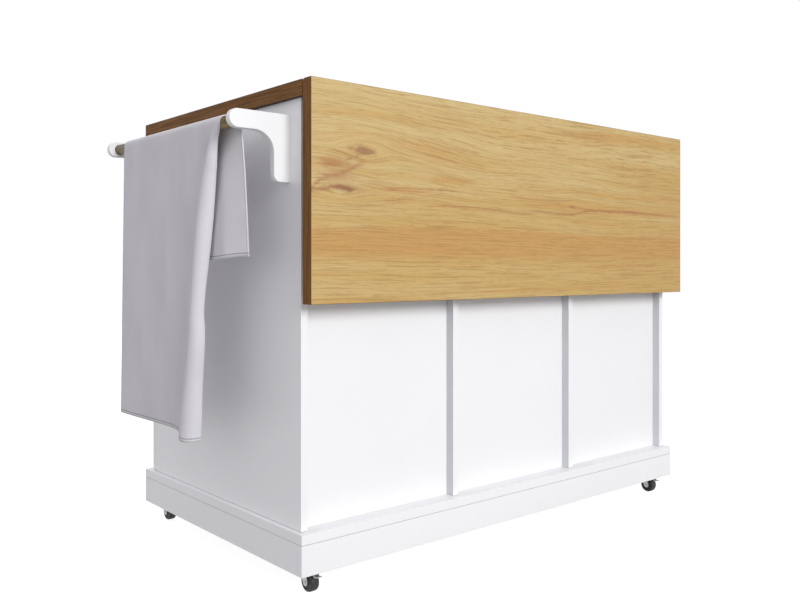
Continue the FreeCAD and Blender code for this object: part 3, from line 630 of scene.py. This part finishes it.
def node_shape(node):
    """A merged copy of a CAD node's mesh, its flat faces made whole again."""
    shape = bmesh.new()
    shape.from_mesh(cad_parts[node].data)
    bmesh.ops.remove_doubles(shape, verts=shape.verts, dist=MESH_WELD)
    bmesh.ops.dissolve_limit(shape, angle_limit=FLAT_LIMIT, verts=shape.verts, edges=shape.edges)
    return shape


def oak_board(shape, node, face_axis, finishes, body):
    """Finishes are those of the outer face, the long edges, the ends and the inner face."""
    for face in shape.faces:
        side = face.normal[face_axis]
        if abs(side) > SQUARE_ON:
            face.material_index = 0 if side > 0 else 3
        else:
            face.material_index = 2 if abs(face.normal.x) > END_FACING else 1
    piece_from(shape, node + "_piece", finishes, body, node)


top_shape = box_shape("worktop")
ease_edges(top_shape, top_shape.edges[:], TOP_EASE)
oak_board(top_shape, "worktop", Z, [oak_top, long_band, top_end_band, underside_shade], "island")

leaf_shape = node_shape("drop_leaf")
leaf_rim = [edge for edge in sharp_edges(leaf_shape, BOARD_CORNER)
            if max(vert.co.y for vert in edge.verts) > LEAF_HIGH.y - MESH_WELD]
ease_edges(leaf_shape, leaf_rim, TOP_EASE)
oak_board(leaf_shape, "drop_leaf", Y, [oak_leaf, long_band, leaf_end_band, oak_leaf], "leaf")


# Leaf hinges and stays: zinc-plated steel. The gooseneck arms are screwed to the upright boards, the cups
# let into the leaf; each stay is a flat bar on a riveted bracket, with a rubber pad for its foot.
PAD_BLACK = (34, 34, 35)
PAD_ROUGHNESS = 0.7
RUBBER_WEAR = (140.0, 4.0, 0.6)
RUBBER_GRAIN = (1500.0, 2.0)
RUBBER_BUMP = (0.15, 0.0002)
DUST_LIFT = 16
DUST_RANGE = (0.45, 0.75)
DUST_DULLING = 0.12


def black_rubber(name, tone, roughness):
    """Matt black moulding with a faint grain and dusty wear."""
    material, tree, shader = new_finish(name)
    place = place_on(tree)
    wear = noise(tree, place, *RUBBER_WEAR)
    dusty = tuple(c + DUST_LIFT for c in tone)
    colour = mixed(tree, ranged(tree, wear, *DUST_RANGE), srgb(*tone), srgb(*dusty))
    dulled = ranged(tree, wear, *NOISE_MIDDLE, roughness, roughness + DUST_DULLING)
    tree.links.new(colour, shader.inputs["Base Color"])
    tree.links.new(dulled, shader.inputs["Roughness"])
    raised(tree, shader, noise(tree, place, *RUBBER_GRAIN), *RUBBER_BUMP)
    return material


rubber = black_rubber("pad_rubber", PAD_BLACK, PAD_ROUGHNESS)
for hardware in ("leaf_hinge_arms", "leaf_hinge_cups", "leaf_stay_right", "leaf_stay_left",
                 "leaf_stay_brackets"):
    dress(hardware, zinc)
dress("leaf_stay_pads", rubber)


# Towel rack: two brackets sawn from board and lacquered white, screwed to the side panel from inside, with
# a hardwood dowel pushed into their blind holes.
BRACKET_EASE = 0.0016
BRACKET_STEPS = 3
DOWEL_SIDES = 48
DOWEL_BROWN = (128, 108, 72)
DOWEL_DARK = (92, 76, 48)
DOWEL_STRETCH = (420.0, 14.0, 420.0)
DOWEL_FIBRES = (1.0, 4.0, 0.6)
DOWEL_RANGE = (0.36, 0.66)
DOWEL_ROUGHNESS = 0.5
DOWEL_BUMP = (0.15, 0.0003)


def dowel_wood():
    """Oiled hardwood: long dark fibres along the rod."""
    material, tree, shader = new_finish("dowel_wood")
    fibre = noise(tree, stretched(tree, place_on(tree), DOWEL_STRETCH), *DOWEL_FIBRES)
    shade = ranged(tree, fibre, *DOWEL_RANGE)
    tree.links.new(mixed(tree, shade, srgb(*DOWEL_BROWN), srgb(*DOWEL_DARK)), shader.inputs["Base Color"])
    shader.inputs["Roughness"].default_value = DOWEL_ROUGHNESS
    raised(tree, shader, fibre, *DOWEL_BUMP)
    return material


def bracket(node):
    shape = node_shape(node)
    bmesh.ops.recalc_face_normals(shape, faces=shape.faces)
    panel_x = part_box(node)[0].x
    rim = [edge for edge in sharp_edges(shape, BOARD_CORNER)
           if max(vert.co.x for vert in edge.verts) > panel_x + MESH_WELD]
    ease_edges(shape, rim, BRACKET_EASE, BRACKET_STEPS)
    piece_from(shape, node + "_piece", [laminate], "island", node)


def round_rod(node, sides):
    """A rod along Y in the CAD node's place."""
    low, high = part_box(node)
    shape = bmesh.new()
    radius = (high.z - low.z) / 2
    turn = Matrix.Translation((low + high) / 2) @ Matrix.Rotation(math.pi / 2, 4, "X")
    bmesh.ops.create_cone(shape, cap_ends=True, segments=sides, radius1=radius, radius2=radius,
                          depth=high.y - low.y, matrix=turn)
    for face in shape.faces:
        face.smooth = len(face.verts) == 4
    return shape


bracket("towel_bracket_back")
bracket("towel_bracket_front")
dowel_shape = round_rod("towel_dowel", DOWEL_SIDES)
piece_from(dowel_shape, "towel_dowel_piece", [dowel_wood()], "island", "towel_dowel")


# Casters: swivel plate, pressed fork and brake lever of plated steel, and a moulded black nylon wheel, on
# blocks inside the plinth's corners.
CORNERS = ("back_right", "back_left", "front_right", "front_left")
NYLON_BLACK = (26, 26, 27)
NYLON_ROUGHNESS = 0.45
WHEEL_STEPS = 56
WHEEL_PROFILE = ((0.13, 1.0), (0.34, 1.0), (0.36, 0.78), (0.64, 0.72), (0.68, 0.93), (0.84, 0.93),
                 (0.95, 0.82), (0.995, 0.55), (1.0, 0.0))

nylon = black_rubber("wheel_nylon", NYLON_BLACK, NYLON_ROUGHNESS)


def wheel(node, body):
    """The outline's places are shares of the wheel's radius and of half its width."""
    low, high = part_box(node)
    middle = (low + high) / 2
    radius = (high.z - low.z) / 2
    half = (high.x - low.x) / 2
    other_half = [(share, -width) for share, width in reversed(WHEEL_PROFILE[:-1])]
    outline = [(middle.x + width * half, middle.y, middle.z + share * radius)
               for share, width in list(WHEEL_PROFILE) + other_half]
    shape = spun(outline, True, middle, (1, 0, 0), WHEEL_STEPS)
    piece_from(shape, node + "_piece", [nylon], body, node)


dress("caster_blocks", laminate)
dress("caster_plates", zinc)
for corner in CORNERS:
    dress("caster_fork_" + corner, zinc)
    wheel("caster_wheel_" + corner, "wheel_" + corner)
    if "caster_brake_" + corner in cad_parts:
        dress("caster_brake_" + corner, zinc)


# Towel: one sheet of light grey woven cotton hung over the dowel, longer outside than inside. Its near
# side rolls round into one big soft fold that starts at a crease; all edges are hemmed.
TOWEL_FRONT = 0.595
TOWEL_BACK = 0.255
TOWEL_FAR_SKEW = 0.019
TOWEL_THICK = 0.0024
TOWEL_OFF_DOWEL = 0.0006
TOWEL_COLUMNS = 150
TOWEL_ROWS = 200
TOWEL_STEP = 0.001
TOWEL_LOW, TOWEL_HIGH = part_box("towel")
DOWEL_LOW, DOWEL_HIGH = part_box("towel_dowel")
DOWEL_MIDDLE = (DOWEL_LOW + DOWEL_HIGH) / 2
TOWEL_FAR = TOWEL_LOW.y + TOWEL_FAR_SKEW
TOWEL_WIDTH = TOWEL_HIGH.y - TOWEL_FAR
TOWEL_BEND = (DOWEL_HIGH.z - DOWEL_LOW.z) / 2 + TOWEL_OFF_DOWEL + TOWEL_THICK / 2
TOWEL_OVER = math.pi * TOWEL_BEND
TOWEL_LENGTH = TOWEL_FRONT + TOWEL_OVER + TOWEL_BACK

# The columns are wider apart in the flat part and closer together in the fold
WIDE_COLUMNS = 0.4
COLUMN_SPREAD = 1.5

# The fold on its way down: share of the outer flap's drop, radius of the roll, and how far its middle is
# from the towel's far edge
FOLD = ((0.00, 0.0061, 0.4215), (0.06, 0.0088, 0.4094), (0.15, 0.0132, 0.3899), (0.34, 0.0163, 0.3650),
        (0.56, 0.0138, 0.3488), (0.66, 0.0163, 0.3436), (0.80, 0.0183, 0.3300), (1.00, 0.0219, 0.3120))
FOLD_TURN_OUT = 55.0
FOLD_TURN_BACK = 180.0
FOLD_CREASE = 0.014
FOLD_TIGHT_FROM = 120.0
FOLD_TIGHT = 0.30
FOLD_STARTS = 0.10
FOLD_LEAN_REACH = 0.02
FOLD_PULL = 0.028
FOLD_PULL_REACH = 0.10
FOLD_PULL_ENDS = 0.40
PULL_TURN_FROM = 1.2
PULL_TURN_REACH = 1.9
RIPPLE_SLOPE = 0.014
RIPPLE_FULL = 0.5
RIPPLE_TURN = 29.0
RIPPLE_START = 0.9
RIPPLE_REACH = 0.05
HEM_DROP = 0.017
SAG_BEFORE = 0.07
SAG_RISE = 0.09
SAG_AFTER = 0.05
SAG_FALL = 0.05
FLAP_HINGE = 0.388
FLAP_BEND = 0.030
FLAP_TURN = 18.5
FLAP_OPENING = 0.55
FLAP_PUSH = 0.002
FLAP_PUSH_FROM = 0.08
FLAP_PUSH_REACH = 0.20
FLAP_LIFT = 0.006
FLAP_LIFT_BEFORE = 0.03
FLAP_LIFT_REACH = 0.10

TOWEL_GREY = (224, 221, 226)
TOWEL_SHADE = (215, 212, 218)
TOWEL_ROUGHNESS = 0.92
TOWEL_SHEEN = 0.25
TOWEL_SHEEN_ROUGHNESS = 0.5
TOWEL_BUMP = (0.35, 0.0004)
SHADE_STRETCH = (12.0, 5.0, 1.0)
SHADE_NOISE = (1.0, 3.0, 0.5)
WEAVE_PITCH = 0.0016
WEAVE_HEIGHT = 0.35
NAP_NOISE = (420.0, 4.0, 0.65)
NAP_RANGE = (0.45, 0.75)
NAP_SHARE = 0.25
SEAM_GREY = (118, 118, 124)
SEAM_SHARE = 0.85
SEAM_DEPTH = 1.5
HEM_WIDTH = 0.0065
SIDE_HEM_WIDTH = 0.00325
END_SEAM = (0.0006, 0.0015, 1.0, 0.0)
SIDE_SEAM = (0.0003, 0.0009, 0.5, 0.0)
STITCH_PITCH = 0.004
STITCH_RANGE = (-0.4, 0.2)
STITCH_SHARE = 0.5


def smooth_step(value):
    value = min(max(value, 0.0), 1.0)
    return value * value * (3 - 2 * value)


def fold_at(share):
    """Radius and middle of the roll at a share of the drop, on a smooth curve through FOLD."""
    after = next((i for i, row in enumerate(FOLD) if row[0] >= share and i > 0), len(FOLD) - 1)
    rows = [FOLD[min(max(after + step, 0), len(FOLD) - 1)] for step in (-2, -1, 0, 1)]
    part = (share - rows[1][0]) / (rows[2][0] - rows[1][0])
    values = []
    for column in (1, 2):
        a, b, c, d = (row[column] for row in rows)
        bend = 2 * a - 5 * b + 4 * c - d + part * (3 * (b - c) + d - a)
        values.append(b + 0.5 * part * (c - a + part * bend))
    return values


@lru_cache(maxsize=None)
def outer_path(share):
    """The outer flap's plan at one height, a point for each step of cloth from the far edge: flat, then
    turned out at the crease, round the roll and back behind it."""
    radius, middle = fold_at(share)
    out_turn = math.radians(FOLD_TURN_OUT)
    back_turn = math.radians(FOLD_TURN_OUT + FOLD_TURN_BACK)
    tight_turn = math.radians(FOLD_TURN_OUT + FOLD_TIGHT_FROM)
    crease = middle - radius * math.sin(out_turn) - FOLD_CREASE / 2
    lean = math.atan2(radius * (1 - math.cos(out_turn)), crease)
    out, along = 0.0, 0.0
    path = [(out, along)]
    for index in range(round(TOWEL_WIDTH / TOWEL_STEP) + 1):
        reached = (index + 0.5) * TOWEL_STEP
        rolled = max(0.0, reached - crease - FOLD_CREASE / 2) / radius
        rolled += max(0.0, rolled - tight_turn) * (1 / FOLD_TIGHT - 1)
        heading = out_turn * smooth_step((reached - crease + FOLD_CREASE / 2) / FOLD_CREASE)
        heading -= min(rolled, back_turn) + lean * smooth_step((crease - reached) / FOLD_LEAN_REACH)
        ripple = RIPPLE_SLOPE * math.sin(reached * RIPPLE_TURN + RIPPLE_START)
        ripple *= smooth_step(share / RIPPLE_FULL)
        heading += ripple * smooth_step((crease - reached) / RIPPLE_REACH)
        out += math.sin(heading) * TOWEL_STEP
        along += math.cos(heading) * TOWEL_STEP
        path.append((out, along))
    return path


def pulled(across):
    """How far the near end is drawn along the dowel where the fold begins."""
    return FOLD_PULL * smooth_step((across - TOWEL_WIDTH) / FOLD_PULL_REACH + 1)


def on_path(path, across):
    """The place on a plan path after a length of cloth."""
    index = min(int(across / TOWEL_STEP), len(path) - 2)
    part = across / TOWEL_STEP - index
    return [path[index][k] + part * (path[index + 1][k] - path[index][k]) for k in (0, 1)]


def outer_flap(share, across):
    """Where a point of the outer flap is: out from the dowel's outer side, along it and down."""
    formed = smooth_step(share / FOLD_STARTS)
    gathered = across - pulled(across) * (1 - smooth_step(share / FOLD_PULL_ENDS))
    out, along = on_path(outer_path(share), gathered)
    along = gathered + (along - gathered) * formed - TOWEL_FAR_SKEW * share
    past_fold = across - fold_at(share)[1]
    sag = smooth_step((past_fold + SAG_BEFORE) / SAG_RISE) - smooth_step((past_fold - SAG_AFTER) / SAG_FALL)
    return out * formed, along, share * TOWEL_FRONT + HEM_DROP * share * sag


@lru_cache(maxsize=None)
def inner_path(share):
    """The inner flap's plan at one height: its near end swings in towards the panel."""
    turn = math.radians(FLAP_TURN) * share ** FLAP_OPENING
    out, along = 0.0, 0.0
    path = [(out, along)]
    for index in range(round(TOWEL_WIDTH / TOWEL_STEP) + 1):
        reached = (index + 0.5) * TOWEL_STEP
        heading = -turn * smooth_step((reached - FLAP_HINGE) / FLAP_BEND)
        out += math.sin(heading) * TOWEL_STEP
        along += math.cos(heading) * TOWEL_STEP
        path.append((out, along))
    return path


def inner_flap(share, across):
    """Where a point of the inner flap is; the roll in front pushes its near half in a little."""
    out, along = on_path(inner_path(share), across)
    push = FLAP_PUSH * share * smooth_step((across - FLAP_PUSH_FROM) / FLAP_PUSH_REACH)
    lift = FLAP_LIFT * share * smooth_step((across - FLAP_HINGE + FLAP_LIFT_BEFORE) / FLAP_LIFT_REACH)
    return out - push, along, share * TOWEL_BACK - lift


def towel_point(length, across):
    """The sheet's middle at a distance along it, from the outer hem, and across it, from the far edge."""
    if length < TOWEL_FRONT:
        out, along, down = outer_flap(1 - length / TOWEL_FRONT, across)
        return Vector((DOWEL_MIDDLE.x + TOWEL_BEND + out, TOWEL_FAR + along, DOWEL_MIDDLE.z - down))
    if length < TOWEL_FRONT + TOWEL_OVER:
        turn = (length - TOWEL_FRONT) / TOWEL_BEND
        along = across - pulled(across) * (1 - smooth_step((turn - PULL_TURN_FROM) / PULL_TURN_REACH))
        return Vector((DOWEL_MIDDLE.x + TOWEL_BEND * math.cos(turn), TOWEL_FAR + along,
                       DOWEL_MIDDLE.z + TOWEL_BEND * math.sin(turn)))
    out, along, down = inner_flap((length - TOWEL_FRONT - TOWEL_OVER) / TOWEL_BACK, across)
    return Vector((DOWEL_MIDDLE.x - TOWEL_BEND + out, TOWEL_FAR + along, DOWEL_MIDDLE.z - down))


def waves(tree, place, pitch):
    """A sine along the cloth, one wave to a pitch."""
    return maths(tree, "SINE", maths(tree, "MULTIPLY", place, 2 * math.pi / pitch))


def off_seam(tree, place, size, hem):
    """Distance from the seam that runs a hem's width inside the cloth's two edges."""
    edge = maths(tree, "MINIMUM", place, maths(tree, "SUBTRACT", size, place))
    return maths(tree, "ABSOLUTE", maths(tree, "SUBTRACT", edge, hem))


def towel_cloth():
    """Plain-woven cotton with a soft nap, and a seam along every hem, in stitches at the two ends."""
    material, tree, shader = new_finish("towel_cotton")
    split = tree.nodes.new("ShaderNodeSeparateXYZ")
    tree.links.new(place_on(tree, "UV"), split.inputs[0])
    across, along = split.outputs["X"], split.outputs["Y"]
    weave = maths(tree, "MULTIPLY", waves(tree, across, WEAVE_PITCH), waves(tree, along, WEAVE_PITCH))
    nap = noise(tree, place_on(tree), *NAP_NOISE)
    cloud = noise(tree, stretched(tree, place_on(tree, "UV"), SHADE_STRETCH), *SHADE_NOISE)
    end_seam = ranged(tree, off_seam(tree, along, TOWEL_LENGTH, HEM_WIDTH), *END_SEAM)
    side_seam = ranged(tree, off_seam(tree, across, TOWEL_WIDTH, SIDE_HEM_WIDTH), *SIDE_SEAM)
    stitch = ranged(tree, waves(tree, across, STITCH_PITCH), *STITCH_RANGE)
    stitched = maths(tree, "ADD", maths(tree, "MULTIPLY", stitch, STITCH_SHARE), 1 - STITCH_SHARE)
    seam = maths(tree, "MAXIMUM", maths(tree, "MULTIPLY", end_seam, stitched), side_seam)
    colour = mixed(tree, ranged(tree, cloud, *NOISE_MIDDLE), srgb(*TOWEL_GREY), srgb(*TOWEL_SHADE))
    colour = tinted(tree, colour, ranged(tree, nap, *NAP_RANGE), NAP_SHARE, TOWEL_SHADE)
    colour = tinted(tree, colour, seam, SEAM_SHARE, SEAM_GREY)
    tree.links.new(colour, shader.inputs["Base Color"])
    shader.inputs["Roughness"].default_value = TOWEL_ROUGHNESS
    shader.inputs["Sheen Weight"].default_value = TOWEL_SHEEN
    shader.inputs["Sheen Roughness"].default_value = TOWEL_SHEEN_ROUGHNESS
    height = maths(tree, "ADD", maths(tree, "MULTIPLY", weave, WEAVE_HEIGHT), nap)
    height = maths(tree, "SUBTRACT", height, maths(tree, "MULTIPLY", seam, SEAM_DEPTH))
    raised(tree, shader, height, *TOWEL_BUMP)
    return material


def towel_sheet():
    """A flat grid laid over the dowel point by point, with each point's place on the cloth kept as its UV."""
    shape = bmesh.new()
    bmesh.ops.create_grid(shape, x_segments=TOWEL_COLUMNS, y_segments=TOWEL_ROWS, size=0.5, calc_uvs=False)
    cloth = shape.loops.layers.uv.new("cloth")
    for vert in shape.verts:
        share = vert.co.x + 0.5
        if share < WIDE_COLUMNS:
            across = COLUMN_SPREAD * share
        else:
            across = (share + COLUMN_SPREAD - 1) / COLUMN_SPREAD
        row = round((vert.co.y + 0.5) * TOWEL_ROWS)
        vert.co = Vector((across * TOWEL_WIDTH, row / TOWEL_ROWS * TOWEL_LENGTH, 0.0))
    for face in shape.faces:
        face.smooth = True
        for loop in face.loops:
            loop[cloth].uv = loop.vert.co.xy
    for vert in shape.verts:
        vert.co = towel_point(vert.co.y, vert.co.x)
    bmesh.ops.recalc_face_normals(shape, faces=shape.faces)
    return shape


towel = piece_from(towel_sheet(), "towel_sheet", [towel_cloth()], "towel", "towel")
towel_wall = towel.modifiers.new("cloth_thickness", "SOLIDIFY")
towel_wall.thickness = TOWEL_THICK
towel_wall.offset = 0.0


# Studio: a pale floor, a soft window-like key on the leaf's side and a white surround that is brighter
# towards the doors, seen from table height at the towel corner.
FLOOR_SIZE = 14.0
FLOOR_TONE = 0.40
FLOOR_ROUGHNESS = 0.9
FLOOR_GLOW = 0.90
KEY_PLACE = (0.9, 5.6, 2.4)
KEY_TARGET = (0.0, 0.2, 0.5)
KEY_SIZE = 2.2
KEY_POWER = 208.0
SKY_COLOUR = (1.0, 1.0, 1.035, 1.0)
SKY_LEVEL = 0.68
SKY_LEAN = 0.30
SKY_DIM = 0.12
CAMERA_PLACE = (1.40785, 1.6294, 0.6135)
CAMERA_YAW = math.radians(139.79)
CAMERA_LENS = 38.41
SENSOR_WIDTH = 36.0
HORIZON_SHIFT = -33.9 / 800


def seen(tree):
    """1 where the studio is looked at, straight, in a reflection or through glass; 0 where it only lights."""
    path = tree.nodes.new("ShaderNodeLightPath")
    looked_at = maths(tree, "MAXIMUM", path.outputs["Is Camera Ray"], path.outputs["Is Glossy Ray"])
    return maths(tree, "MAXIMUM", looked_at, path.outputs["Is Transmission Ray"])


def pale_floor():
    material, tree, shader = new_finish("pale_floor")
    shader.inputs["Base Color"].default_value = (FLOOR_TONE, FLOOR_TONE, FLOOR_TONE, 1.0)
    shader.inputs["Roughness"].default_value = FLOOR_ROUGHNESS
    shader.inputs["Emission Color"].default_value = (1.0, 1.0, 1.0, 1.0)
    tree.links.new(maths(tree, "MULTIPLY", seen(tree), FLOOR_GLOW), shader.inputs["Emission Strength"])
    return material


floor_shape = bmesh.new()
bmesh.ops.create_grid(floor_shape, x_segments=1, y_segments=1, size=FLOOR_SIZE / 2)
floor_mesh = bpy.data.meshes.new("floor")
floor_shape.to_mesh(floor_mesh)
floor_shape.free()
floor = bpy.data.objects.new("floor", floor_mesh)
bpy.context.scene.collection.objects.link(floor)
floor_mesh.materials.append(pale_floor())

key_lamp = bpy.data.lights.new("key_lamp", "AREA")
key_lamp.shape = "DISK"
key_lamp.size = KEY_SIZE
key_lamp.energy = KEY_POWER
key_holder = bpy.data.objects.new("key_lamp", key_lamp)
key_holder.location = KEY_PLACE
key_holder.rotation_euler = (Vector(KEY_TARGET) - Vector(KEY_PLACE)).to_track_quat("-Z", "Y").to_euler()
bpy.context.scene.collection.objects.link(key_holder)


def white_surround():
    """White where it is seen; as a light it is dimmer overhead and on the key's side."""
    world = bpy.data.worlds.new("white_surround")
    world.use_nodes = True
    tree = world.node_tree
    sky = tree.nodes["Background"]
    sky.inputs["Color"].default_value = SKY_COLOUR
    way = tree.nodes.new("ShaderNodeSeparateXYZ")
    tree.links.new(place_on(tree, "Generated"), way.inputs[0])
    lean = maths(tree, "MULTIPLY", way.outputs["Y"], SKY_LEAN)
    dim = maths(tree, "MULTIPLY", way.outputs["Z"], SKY_DIM)
    lit = maths(tree, "SUBTRACT", SKY_LEVEL, maths(tree, "ADD", lean, dim))
    tree.links.new(maths(tree, "MAXIMUM", seen(tree), lit), sky.inputs["Strength"])
    return world


bpy.context.scene.world = white_surround()

lens = bpy.data.cameras.new("photo_view")
lens.lens = CAMERA_LENS
lens.sensor_width = SENSOR_WIDTH
lens.shift_y = HORIZON_SHIFT
camera = bpy.data.objects.new("photo_view", lens)
camera.location = CAMERA_PLACE
camera.rotation_euler = (math.pi / 2, 0.0, CAMERA_YAW)
bpy.context.scene.collection.objects.link(camera)
bpy.context.scene.camera = camera
bpy.context.scene.view_settings.view_transform = "Standard"
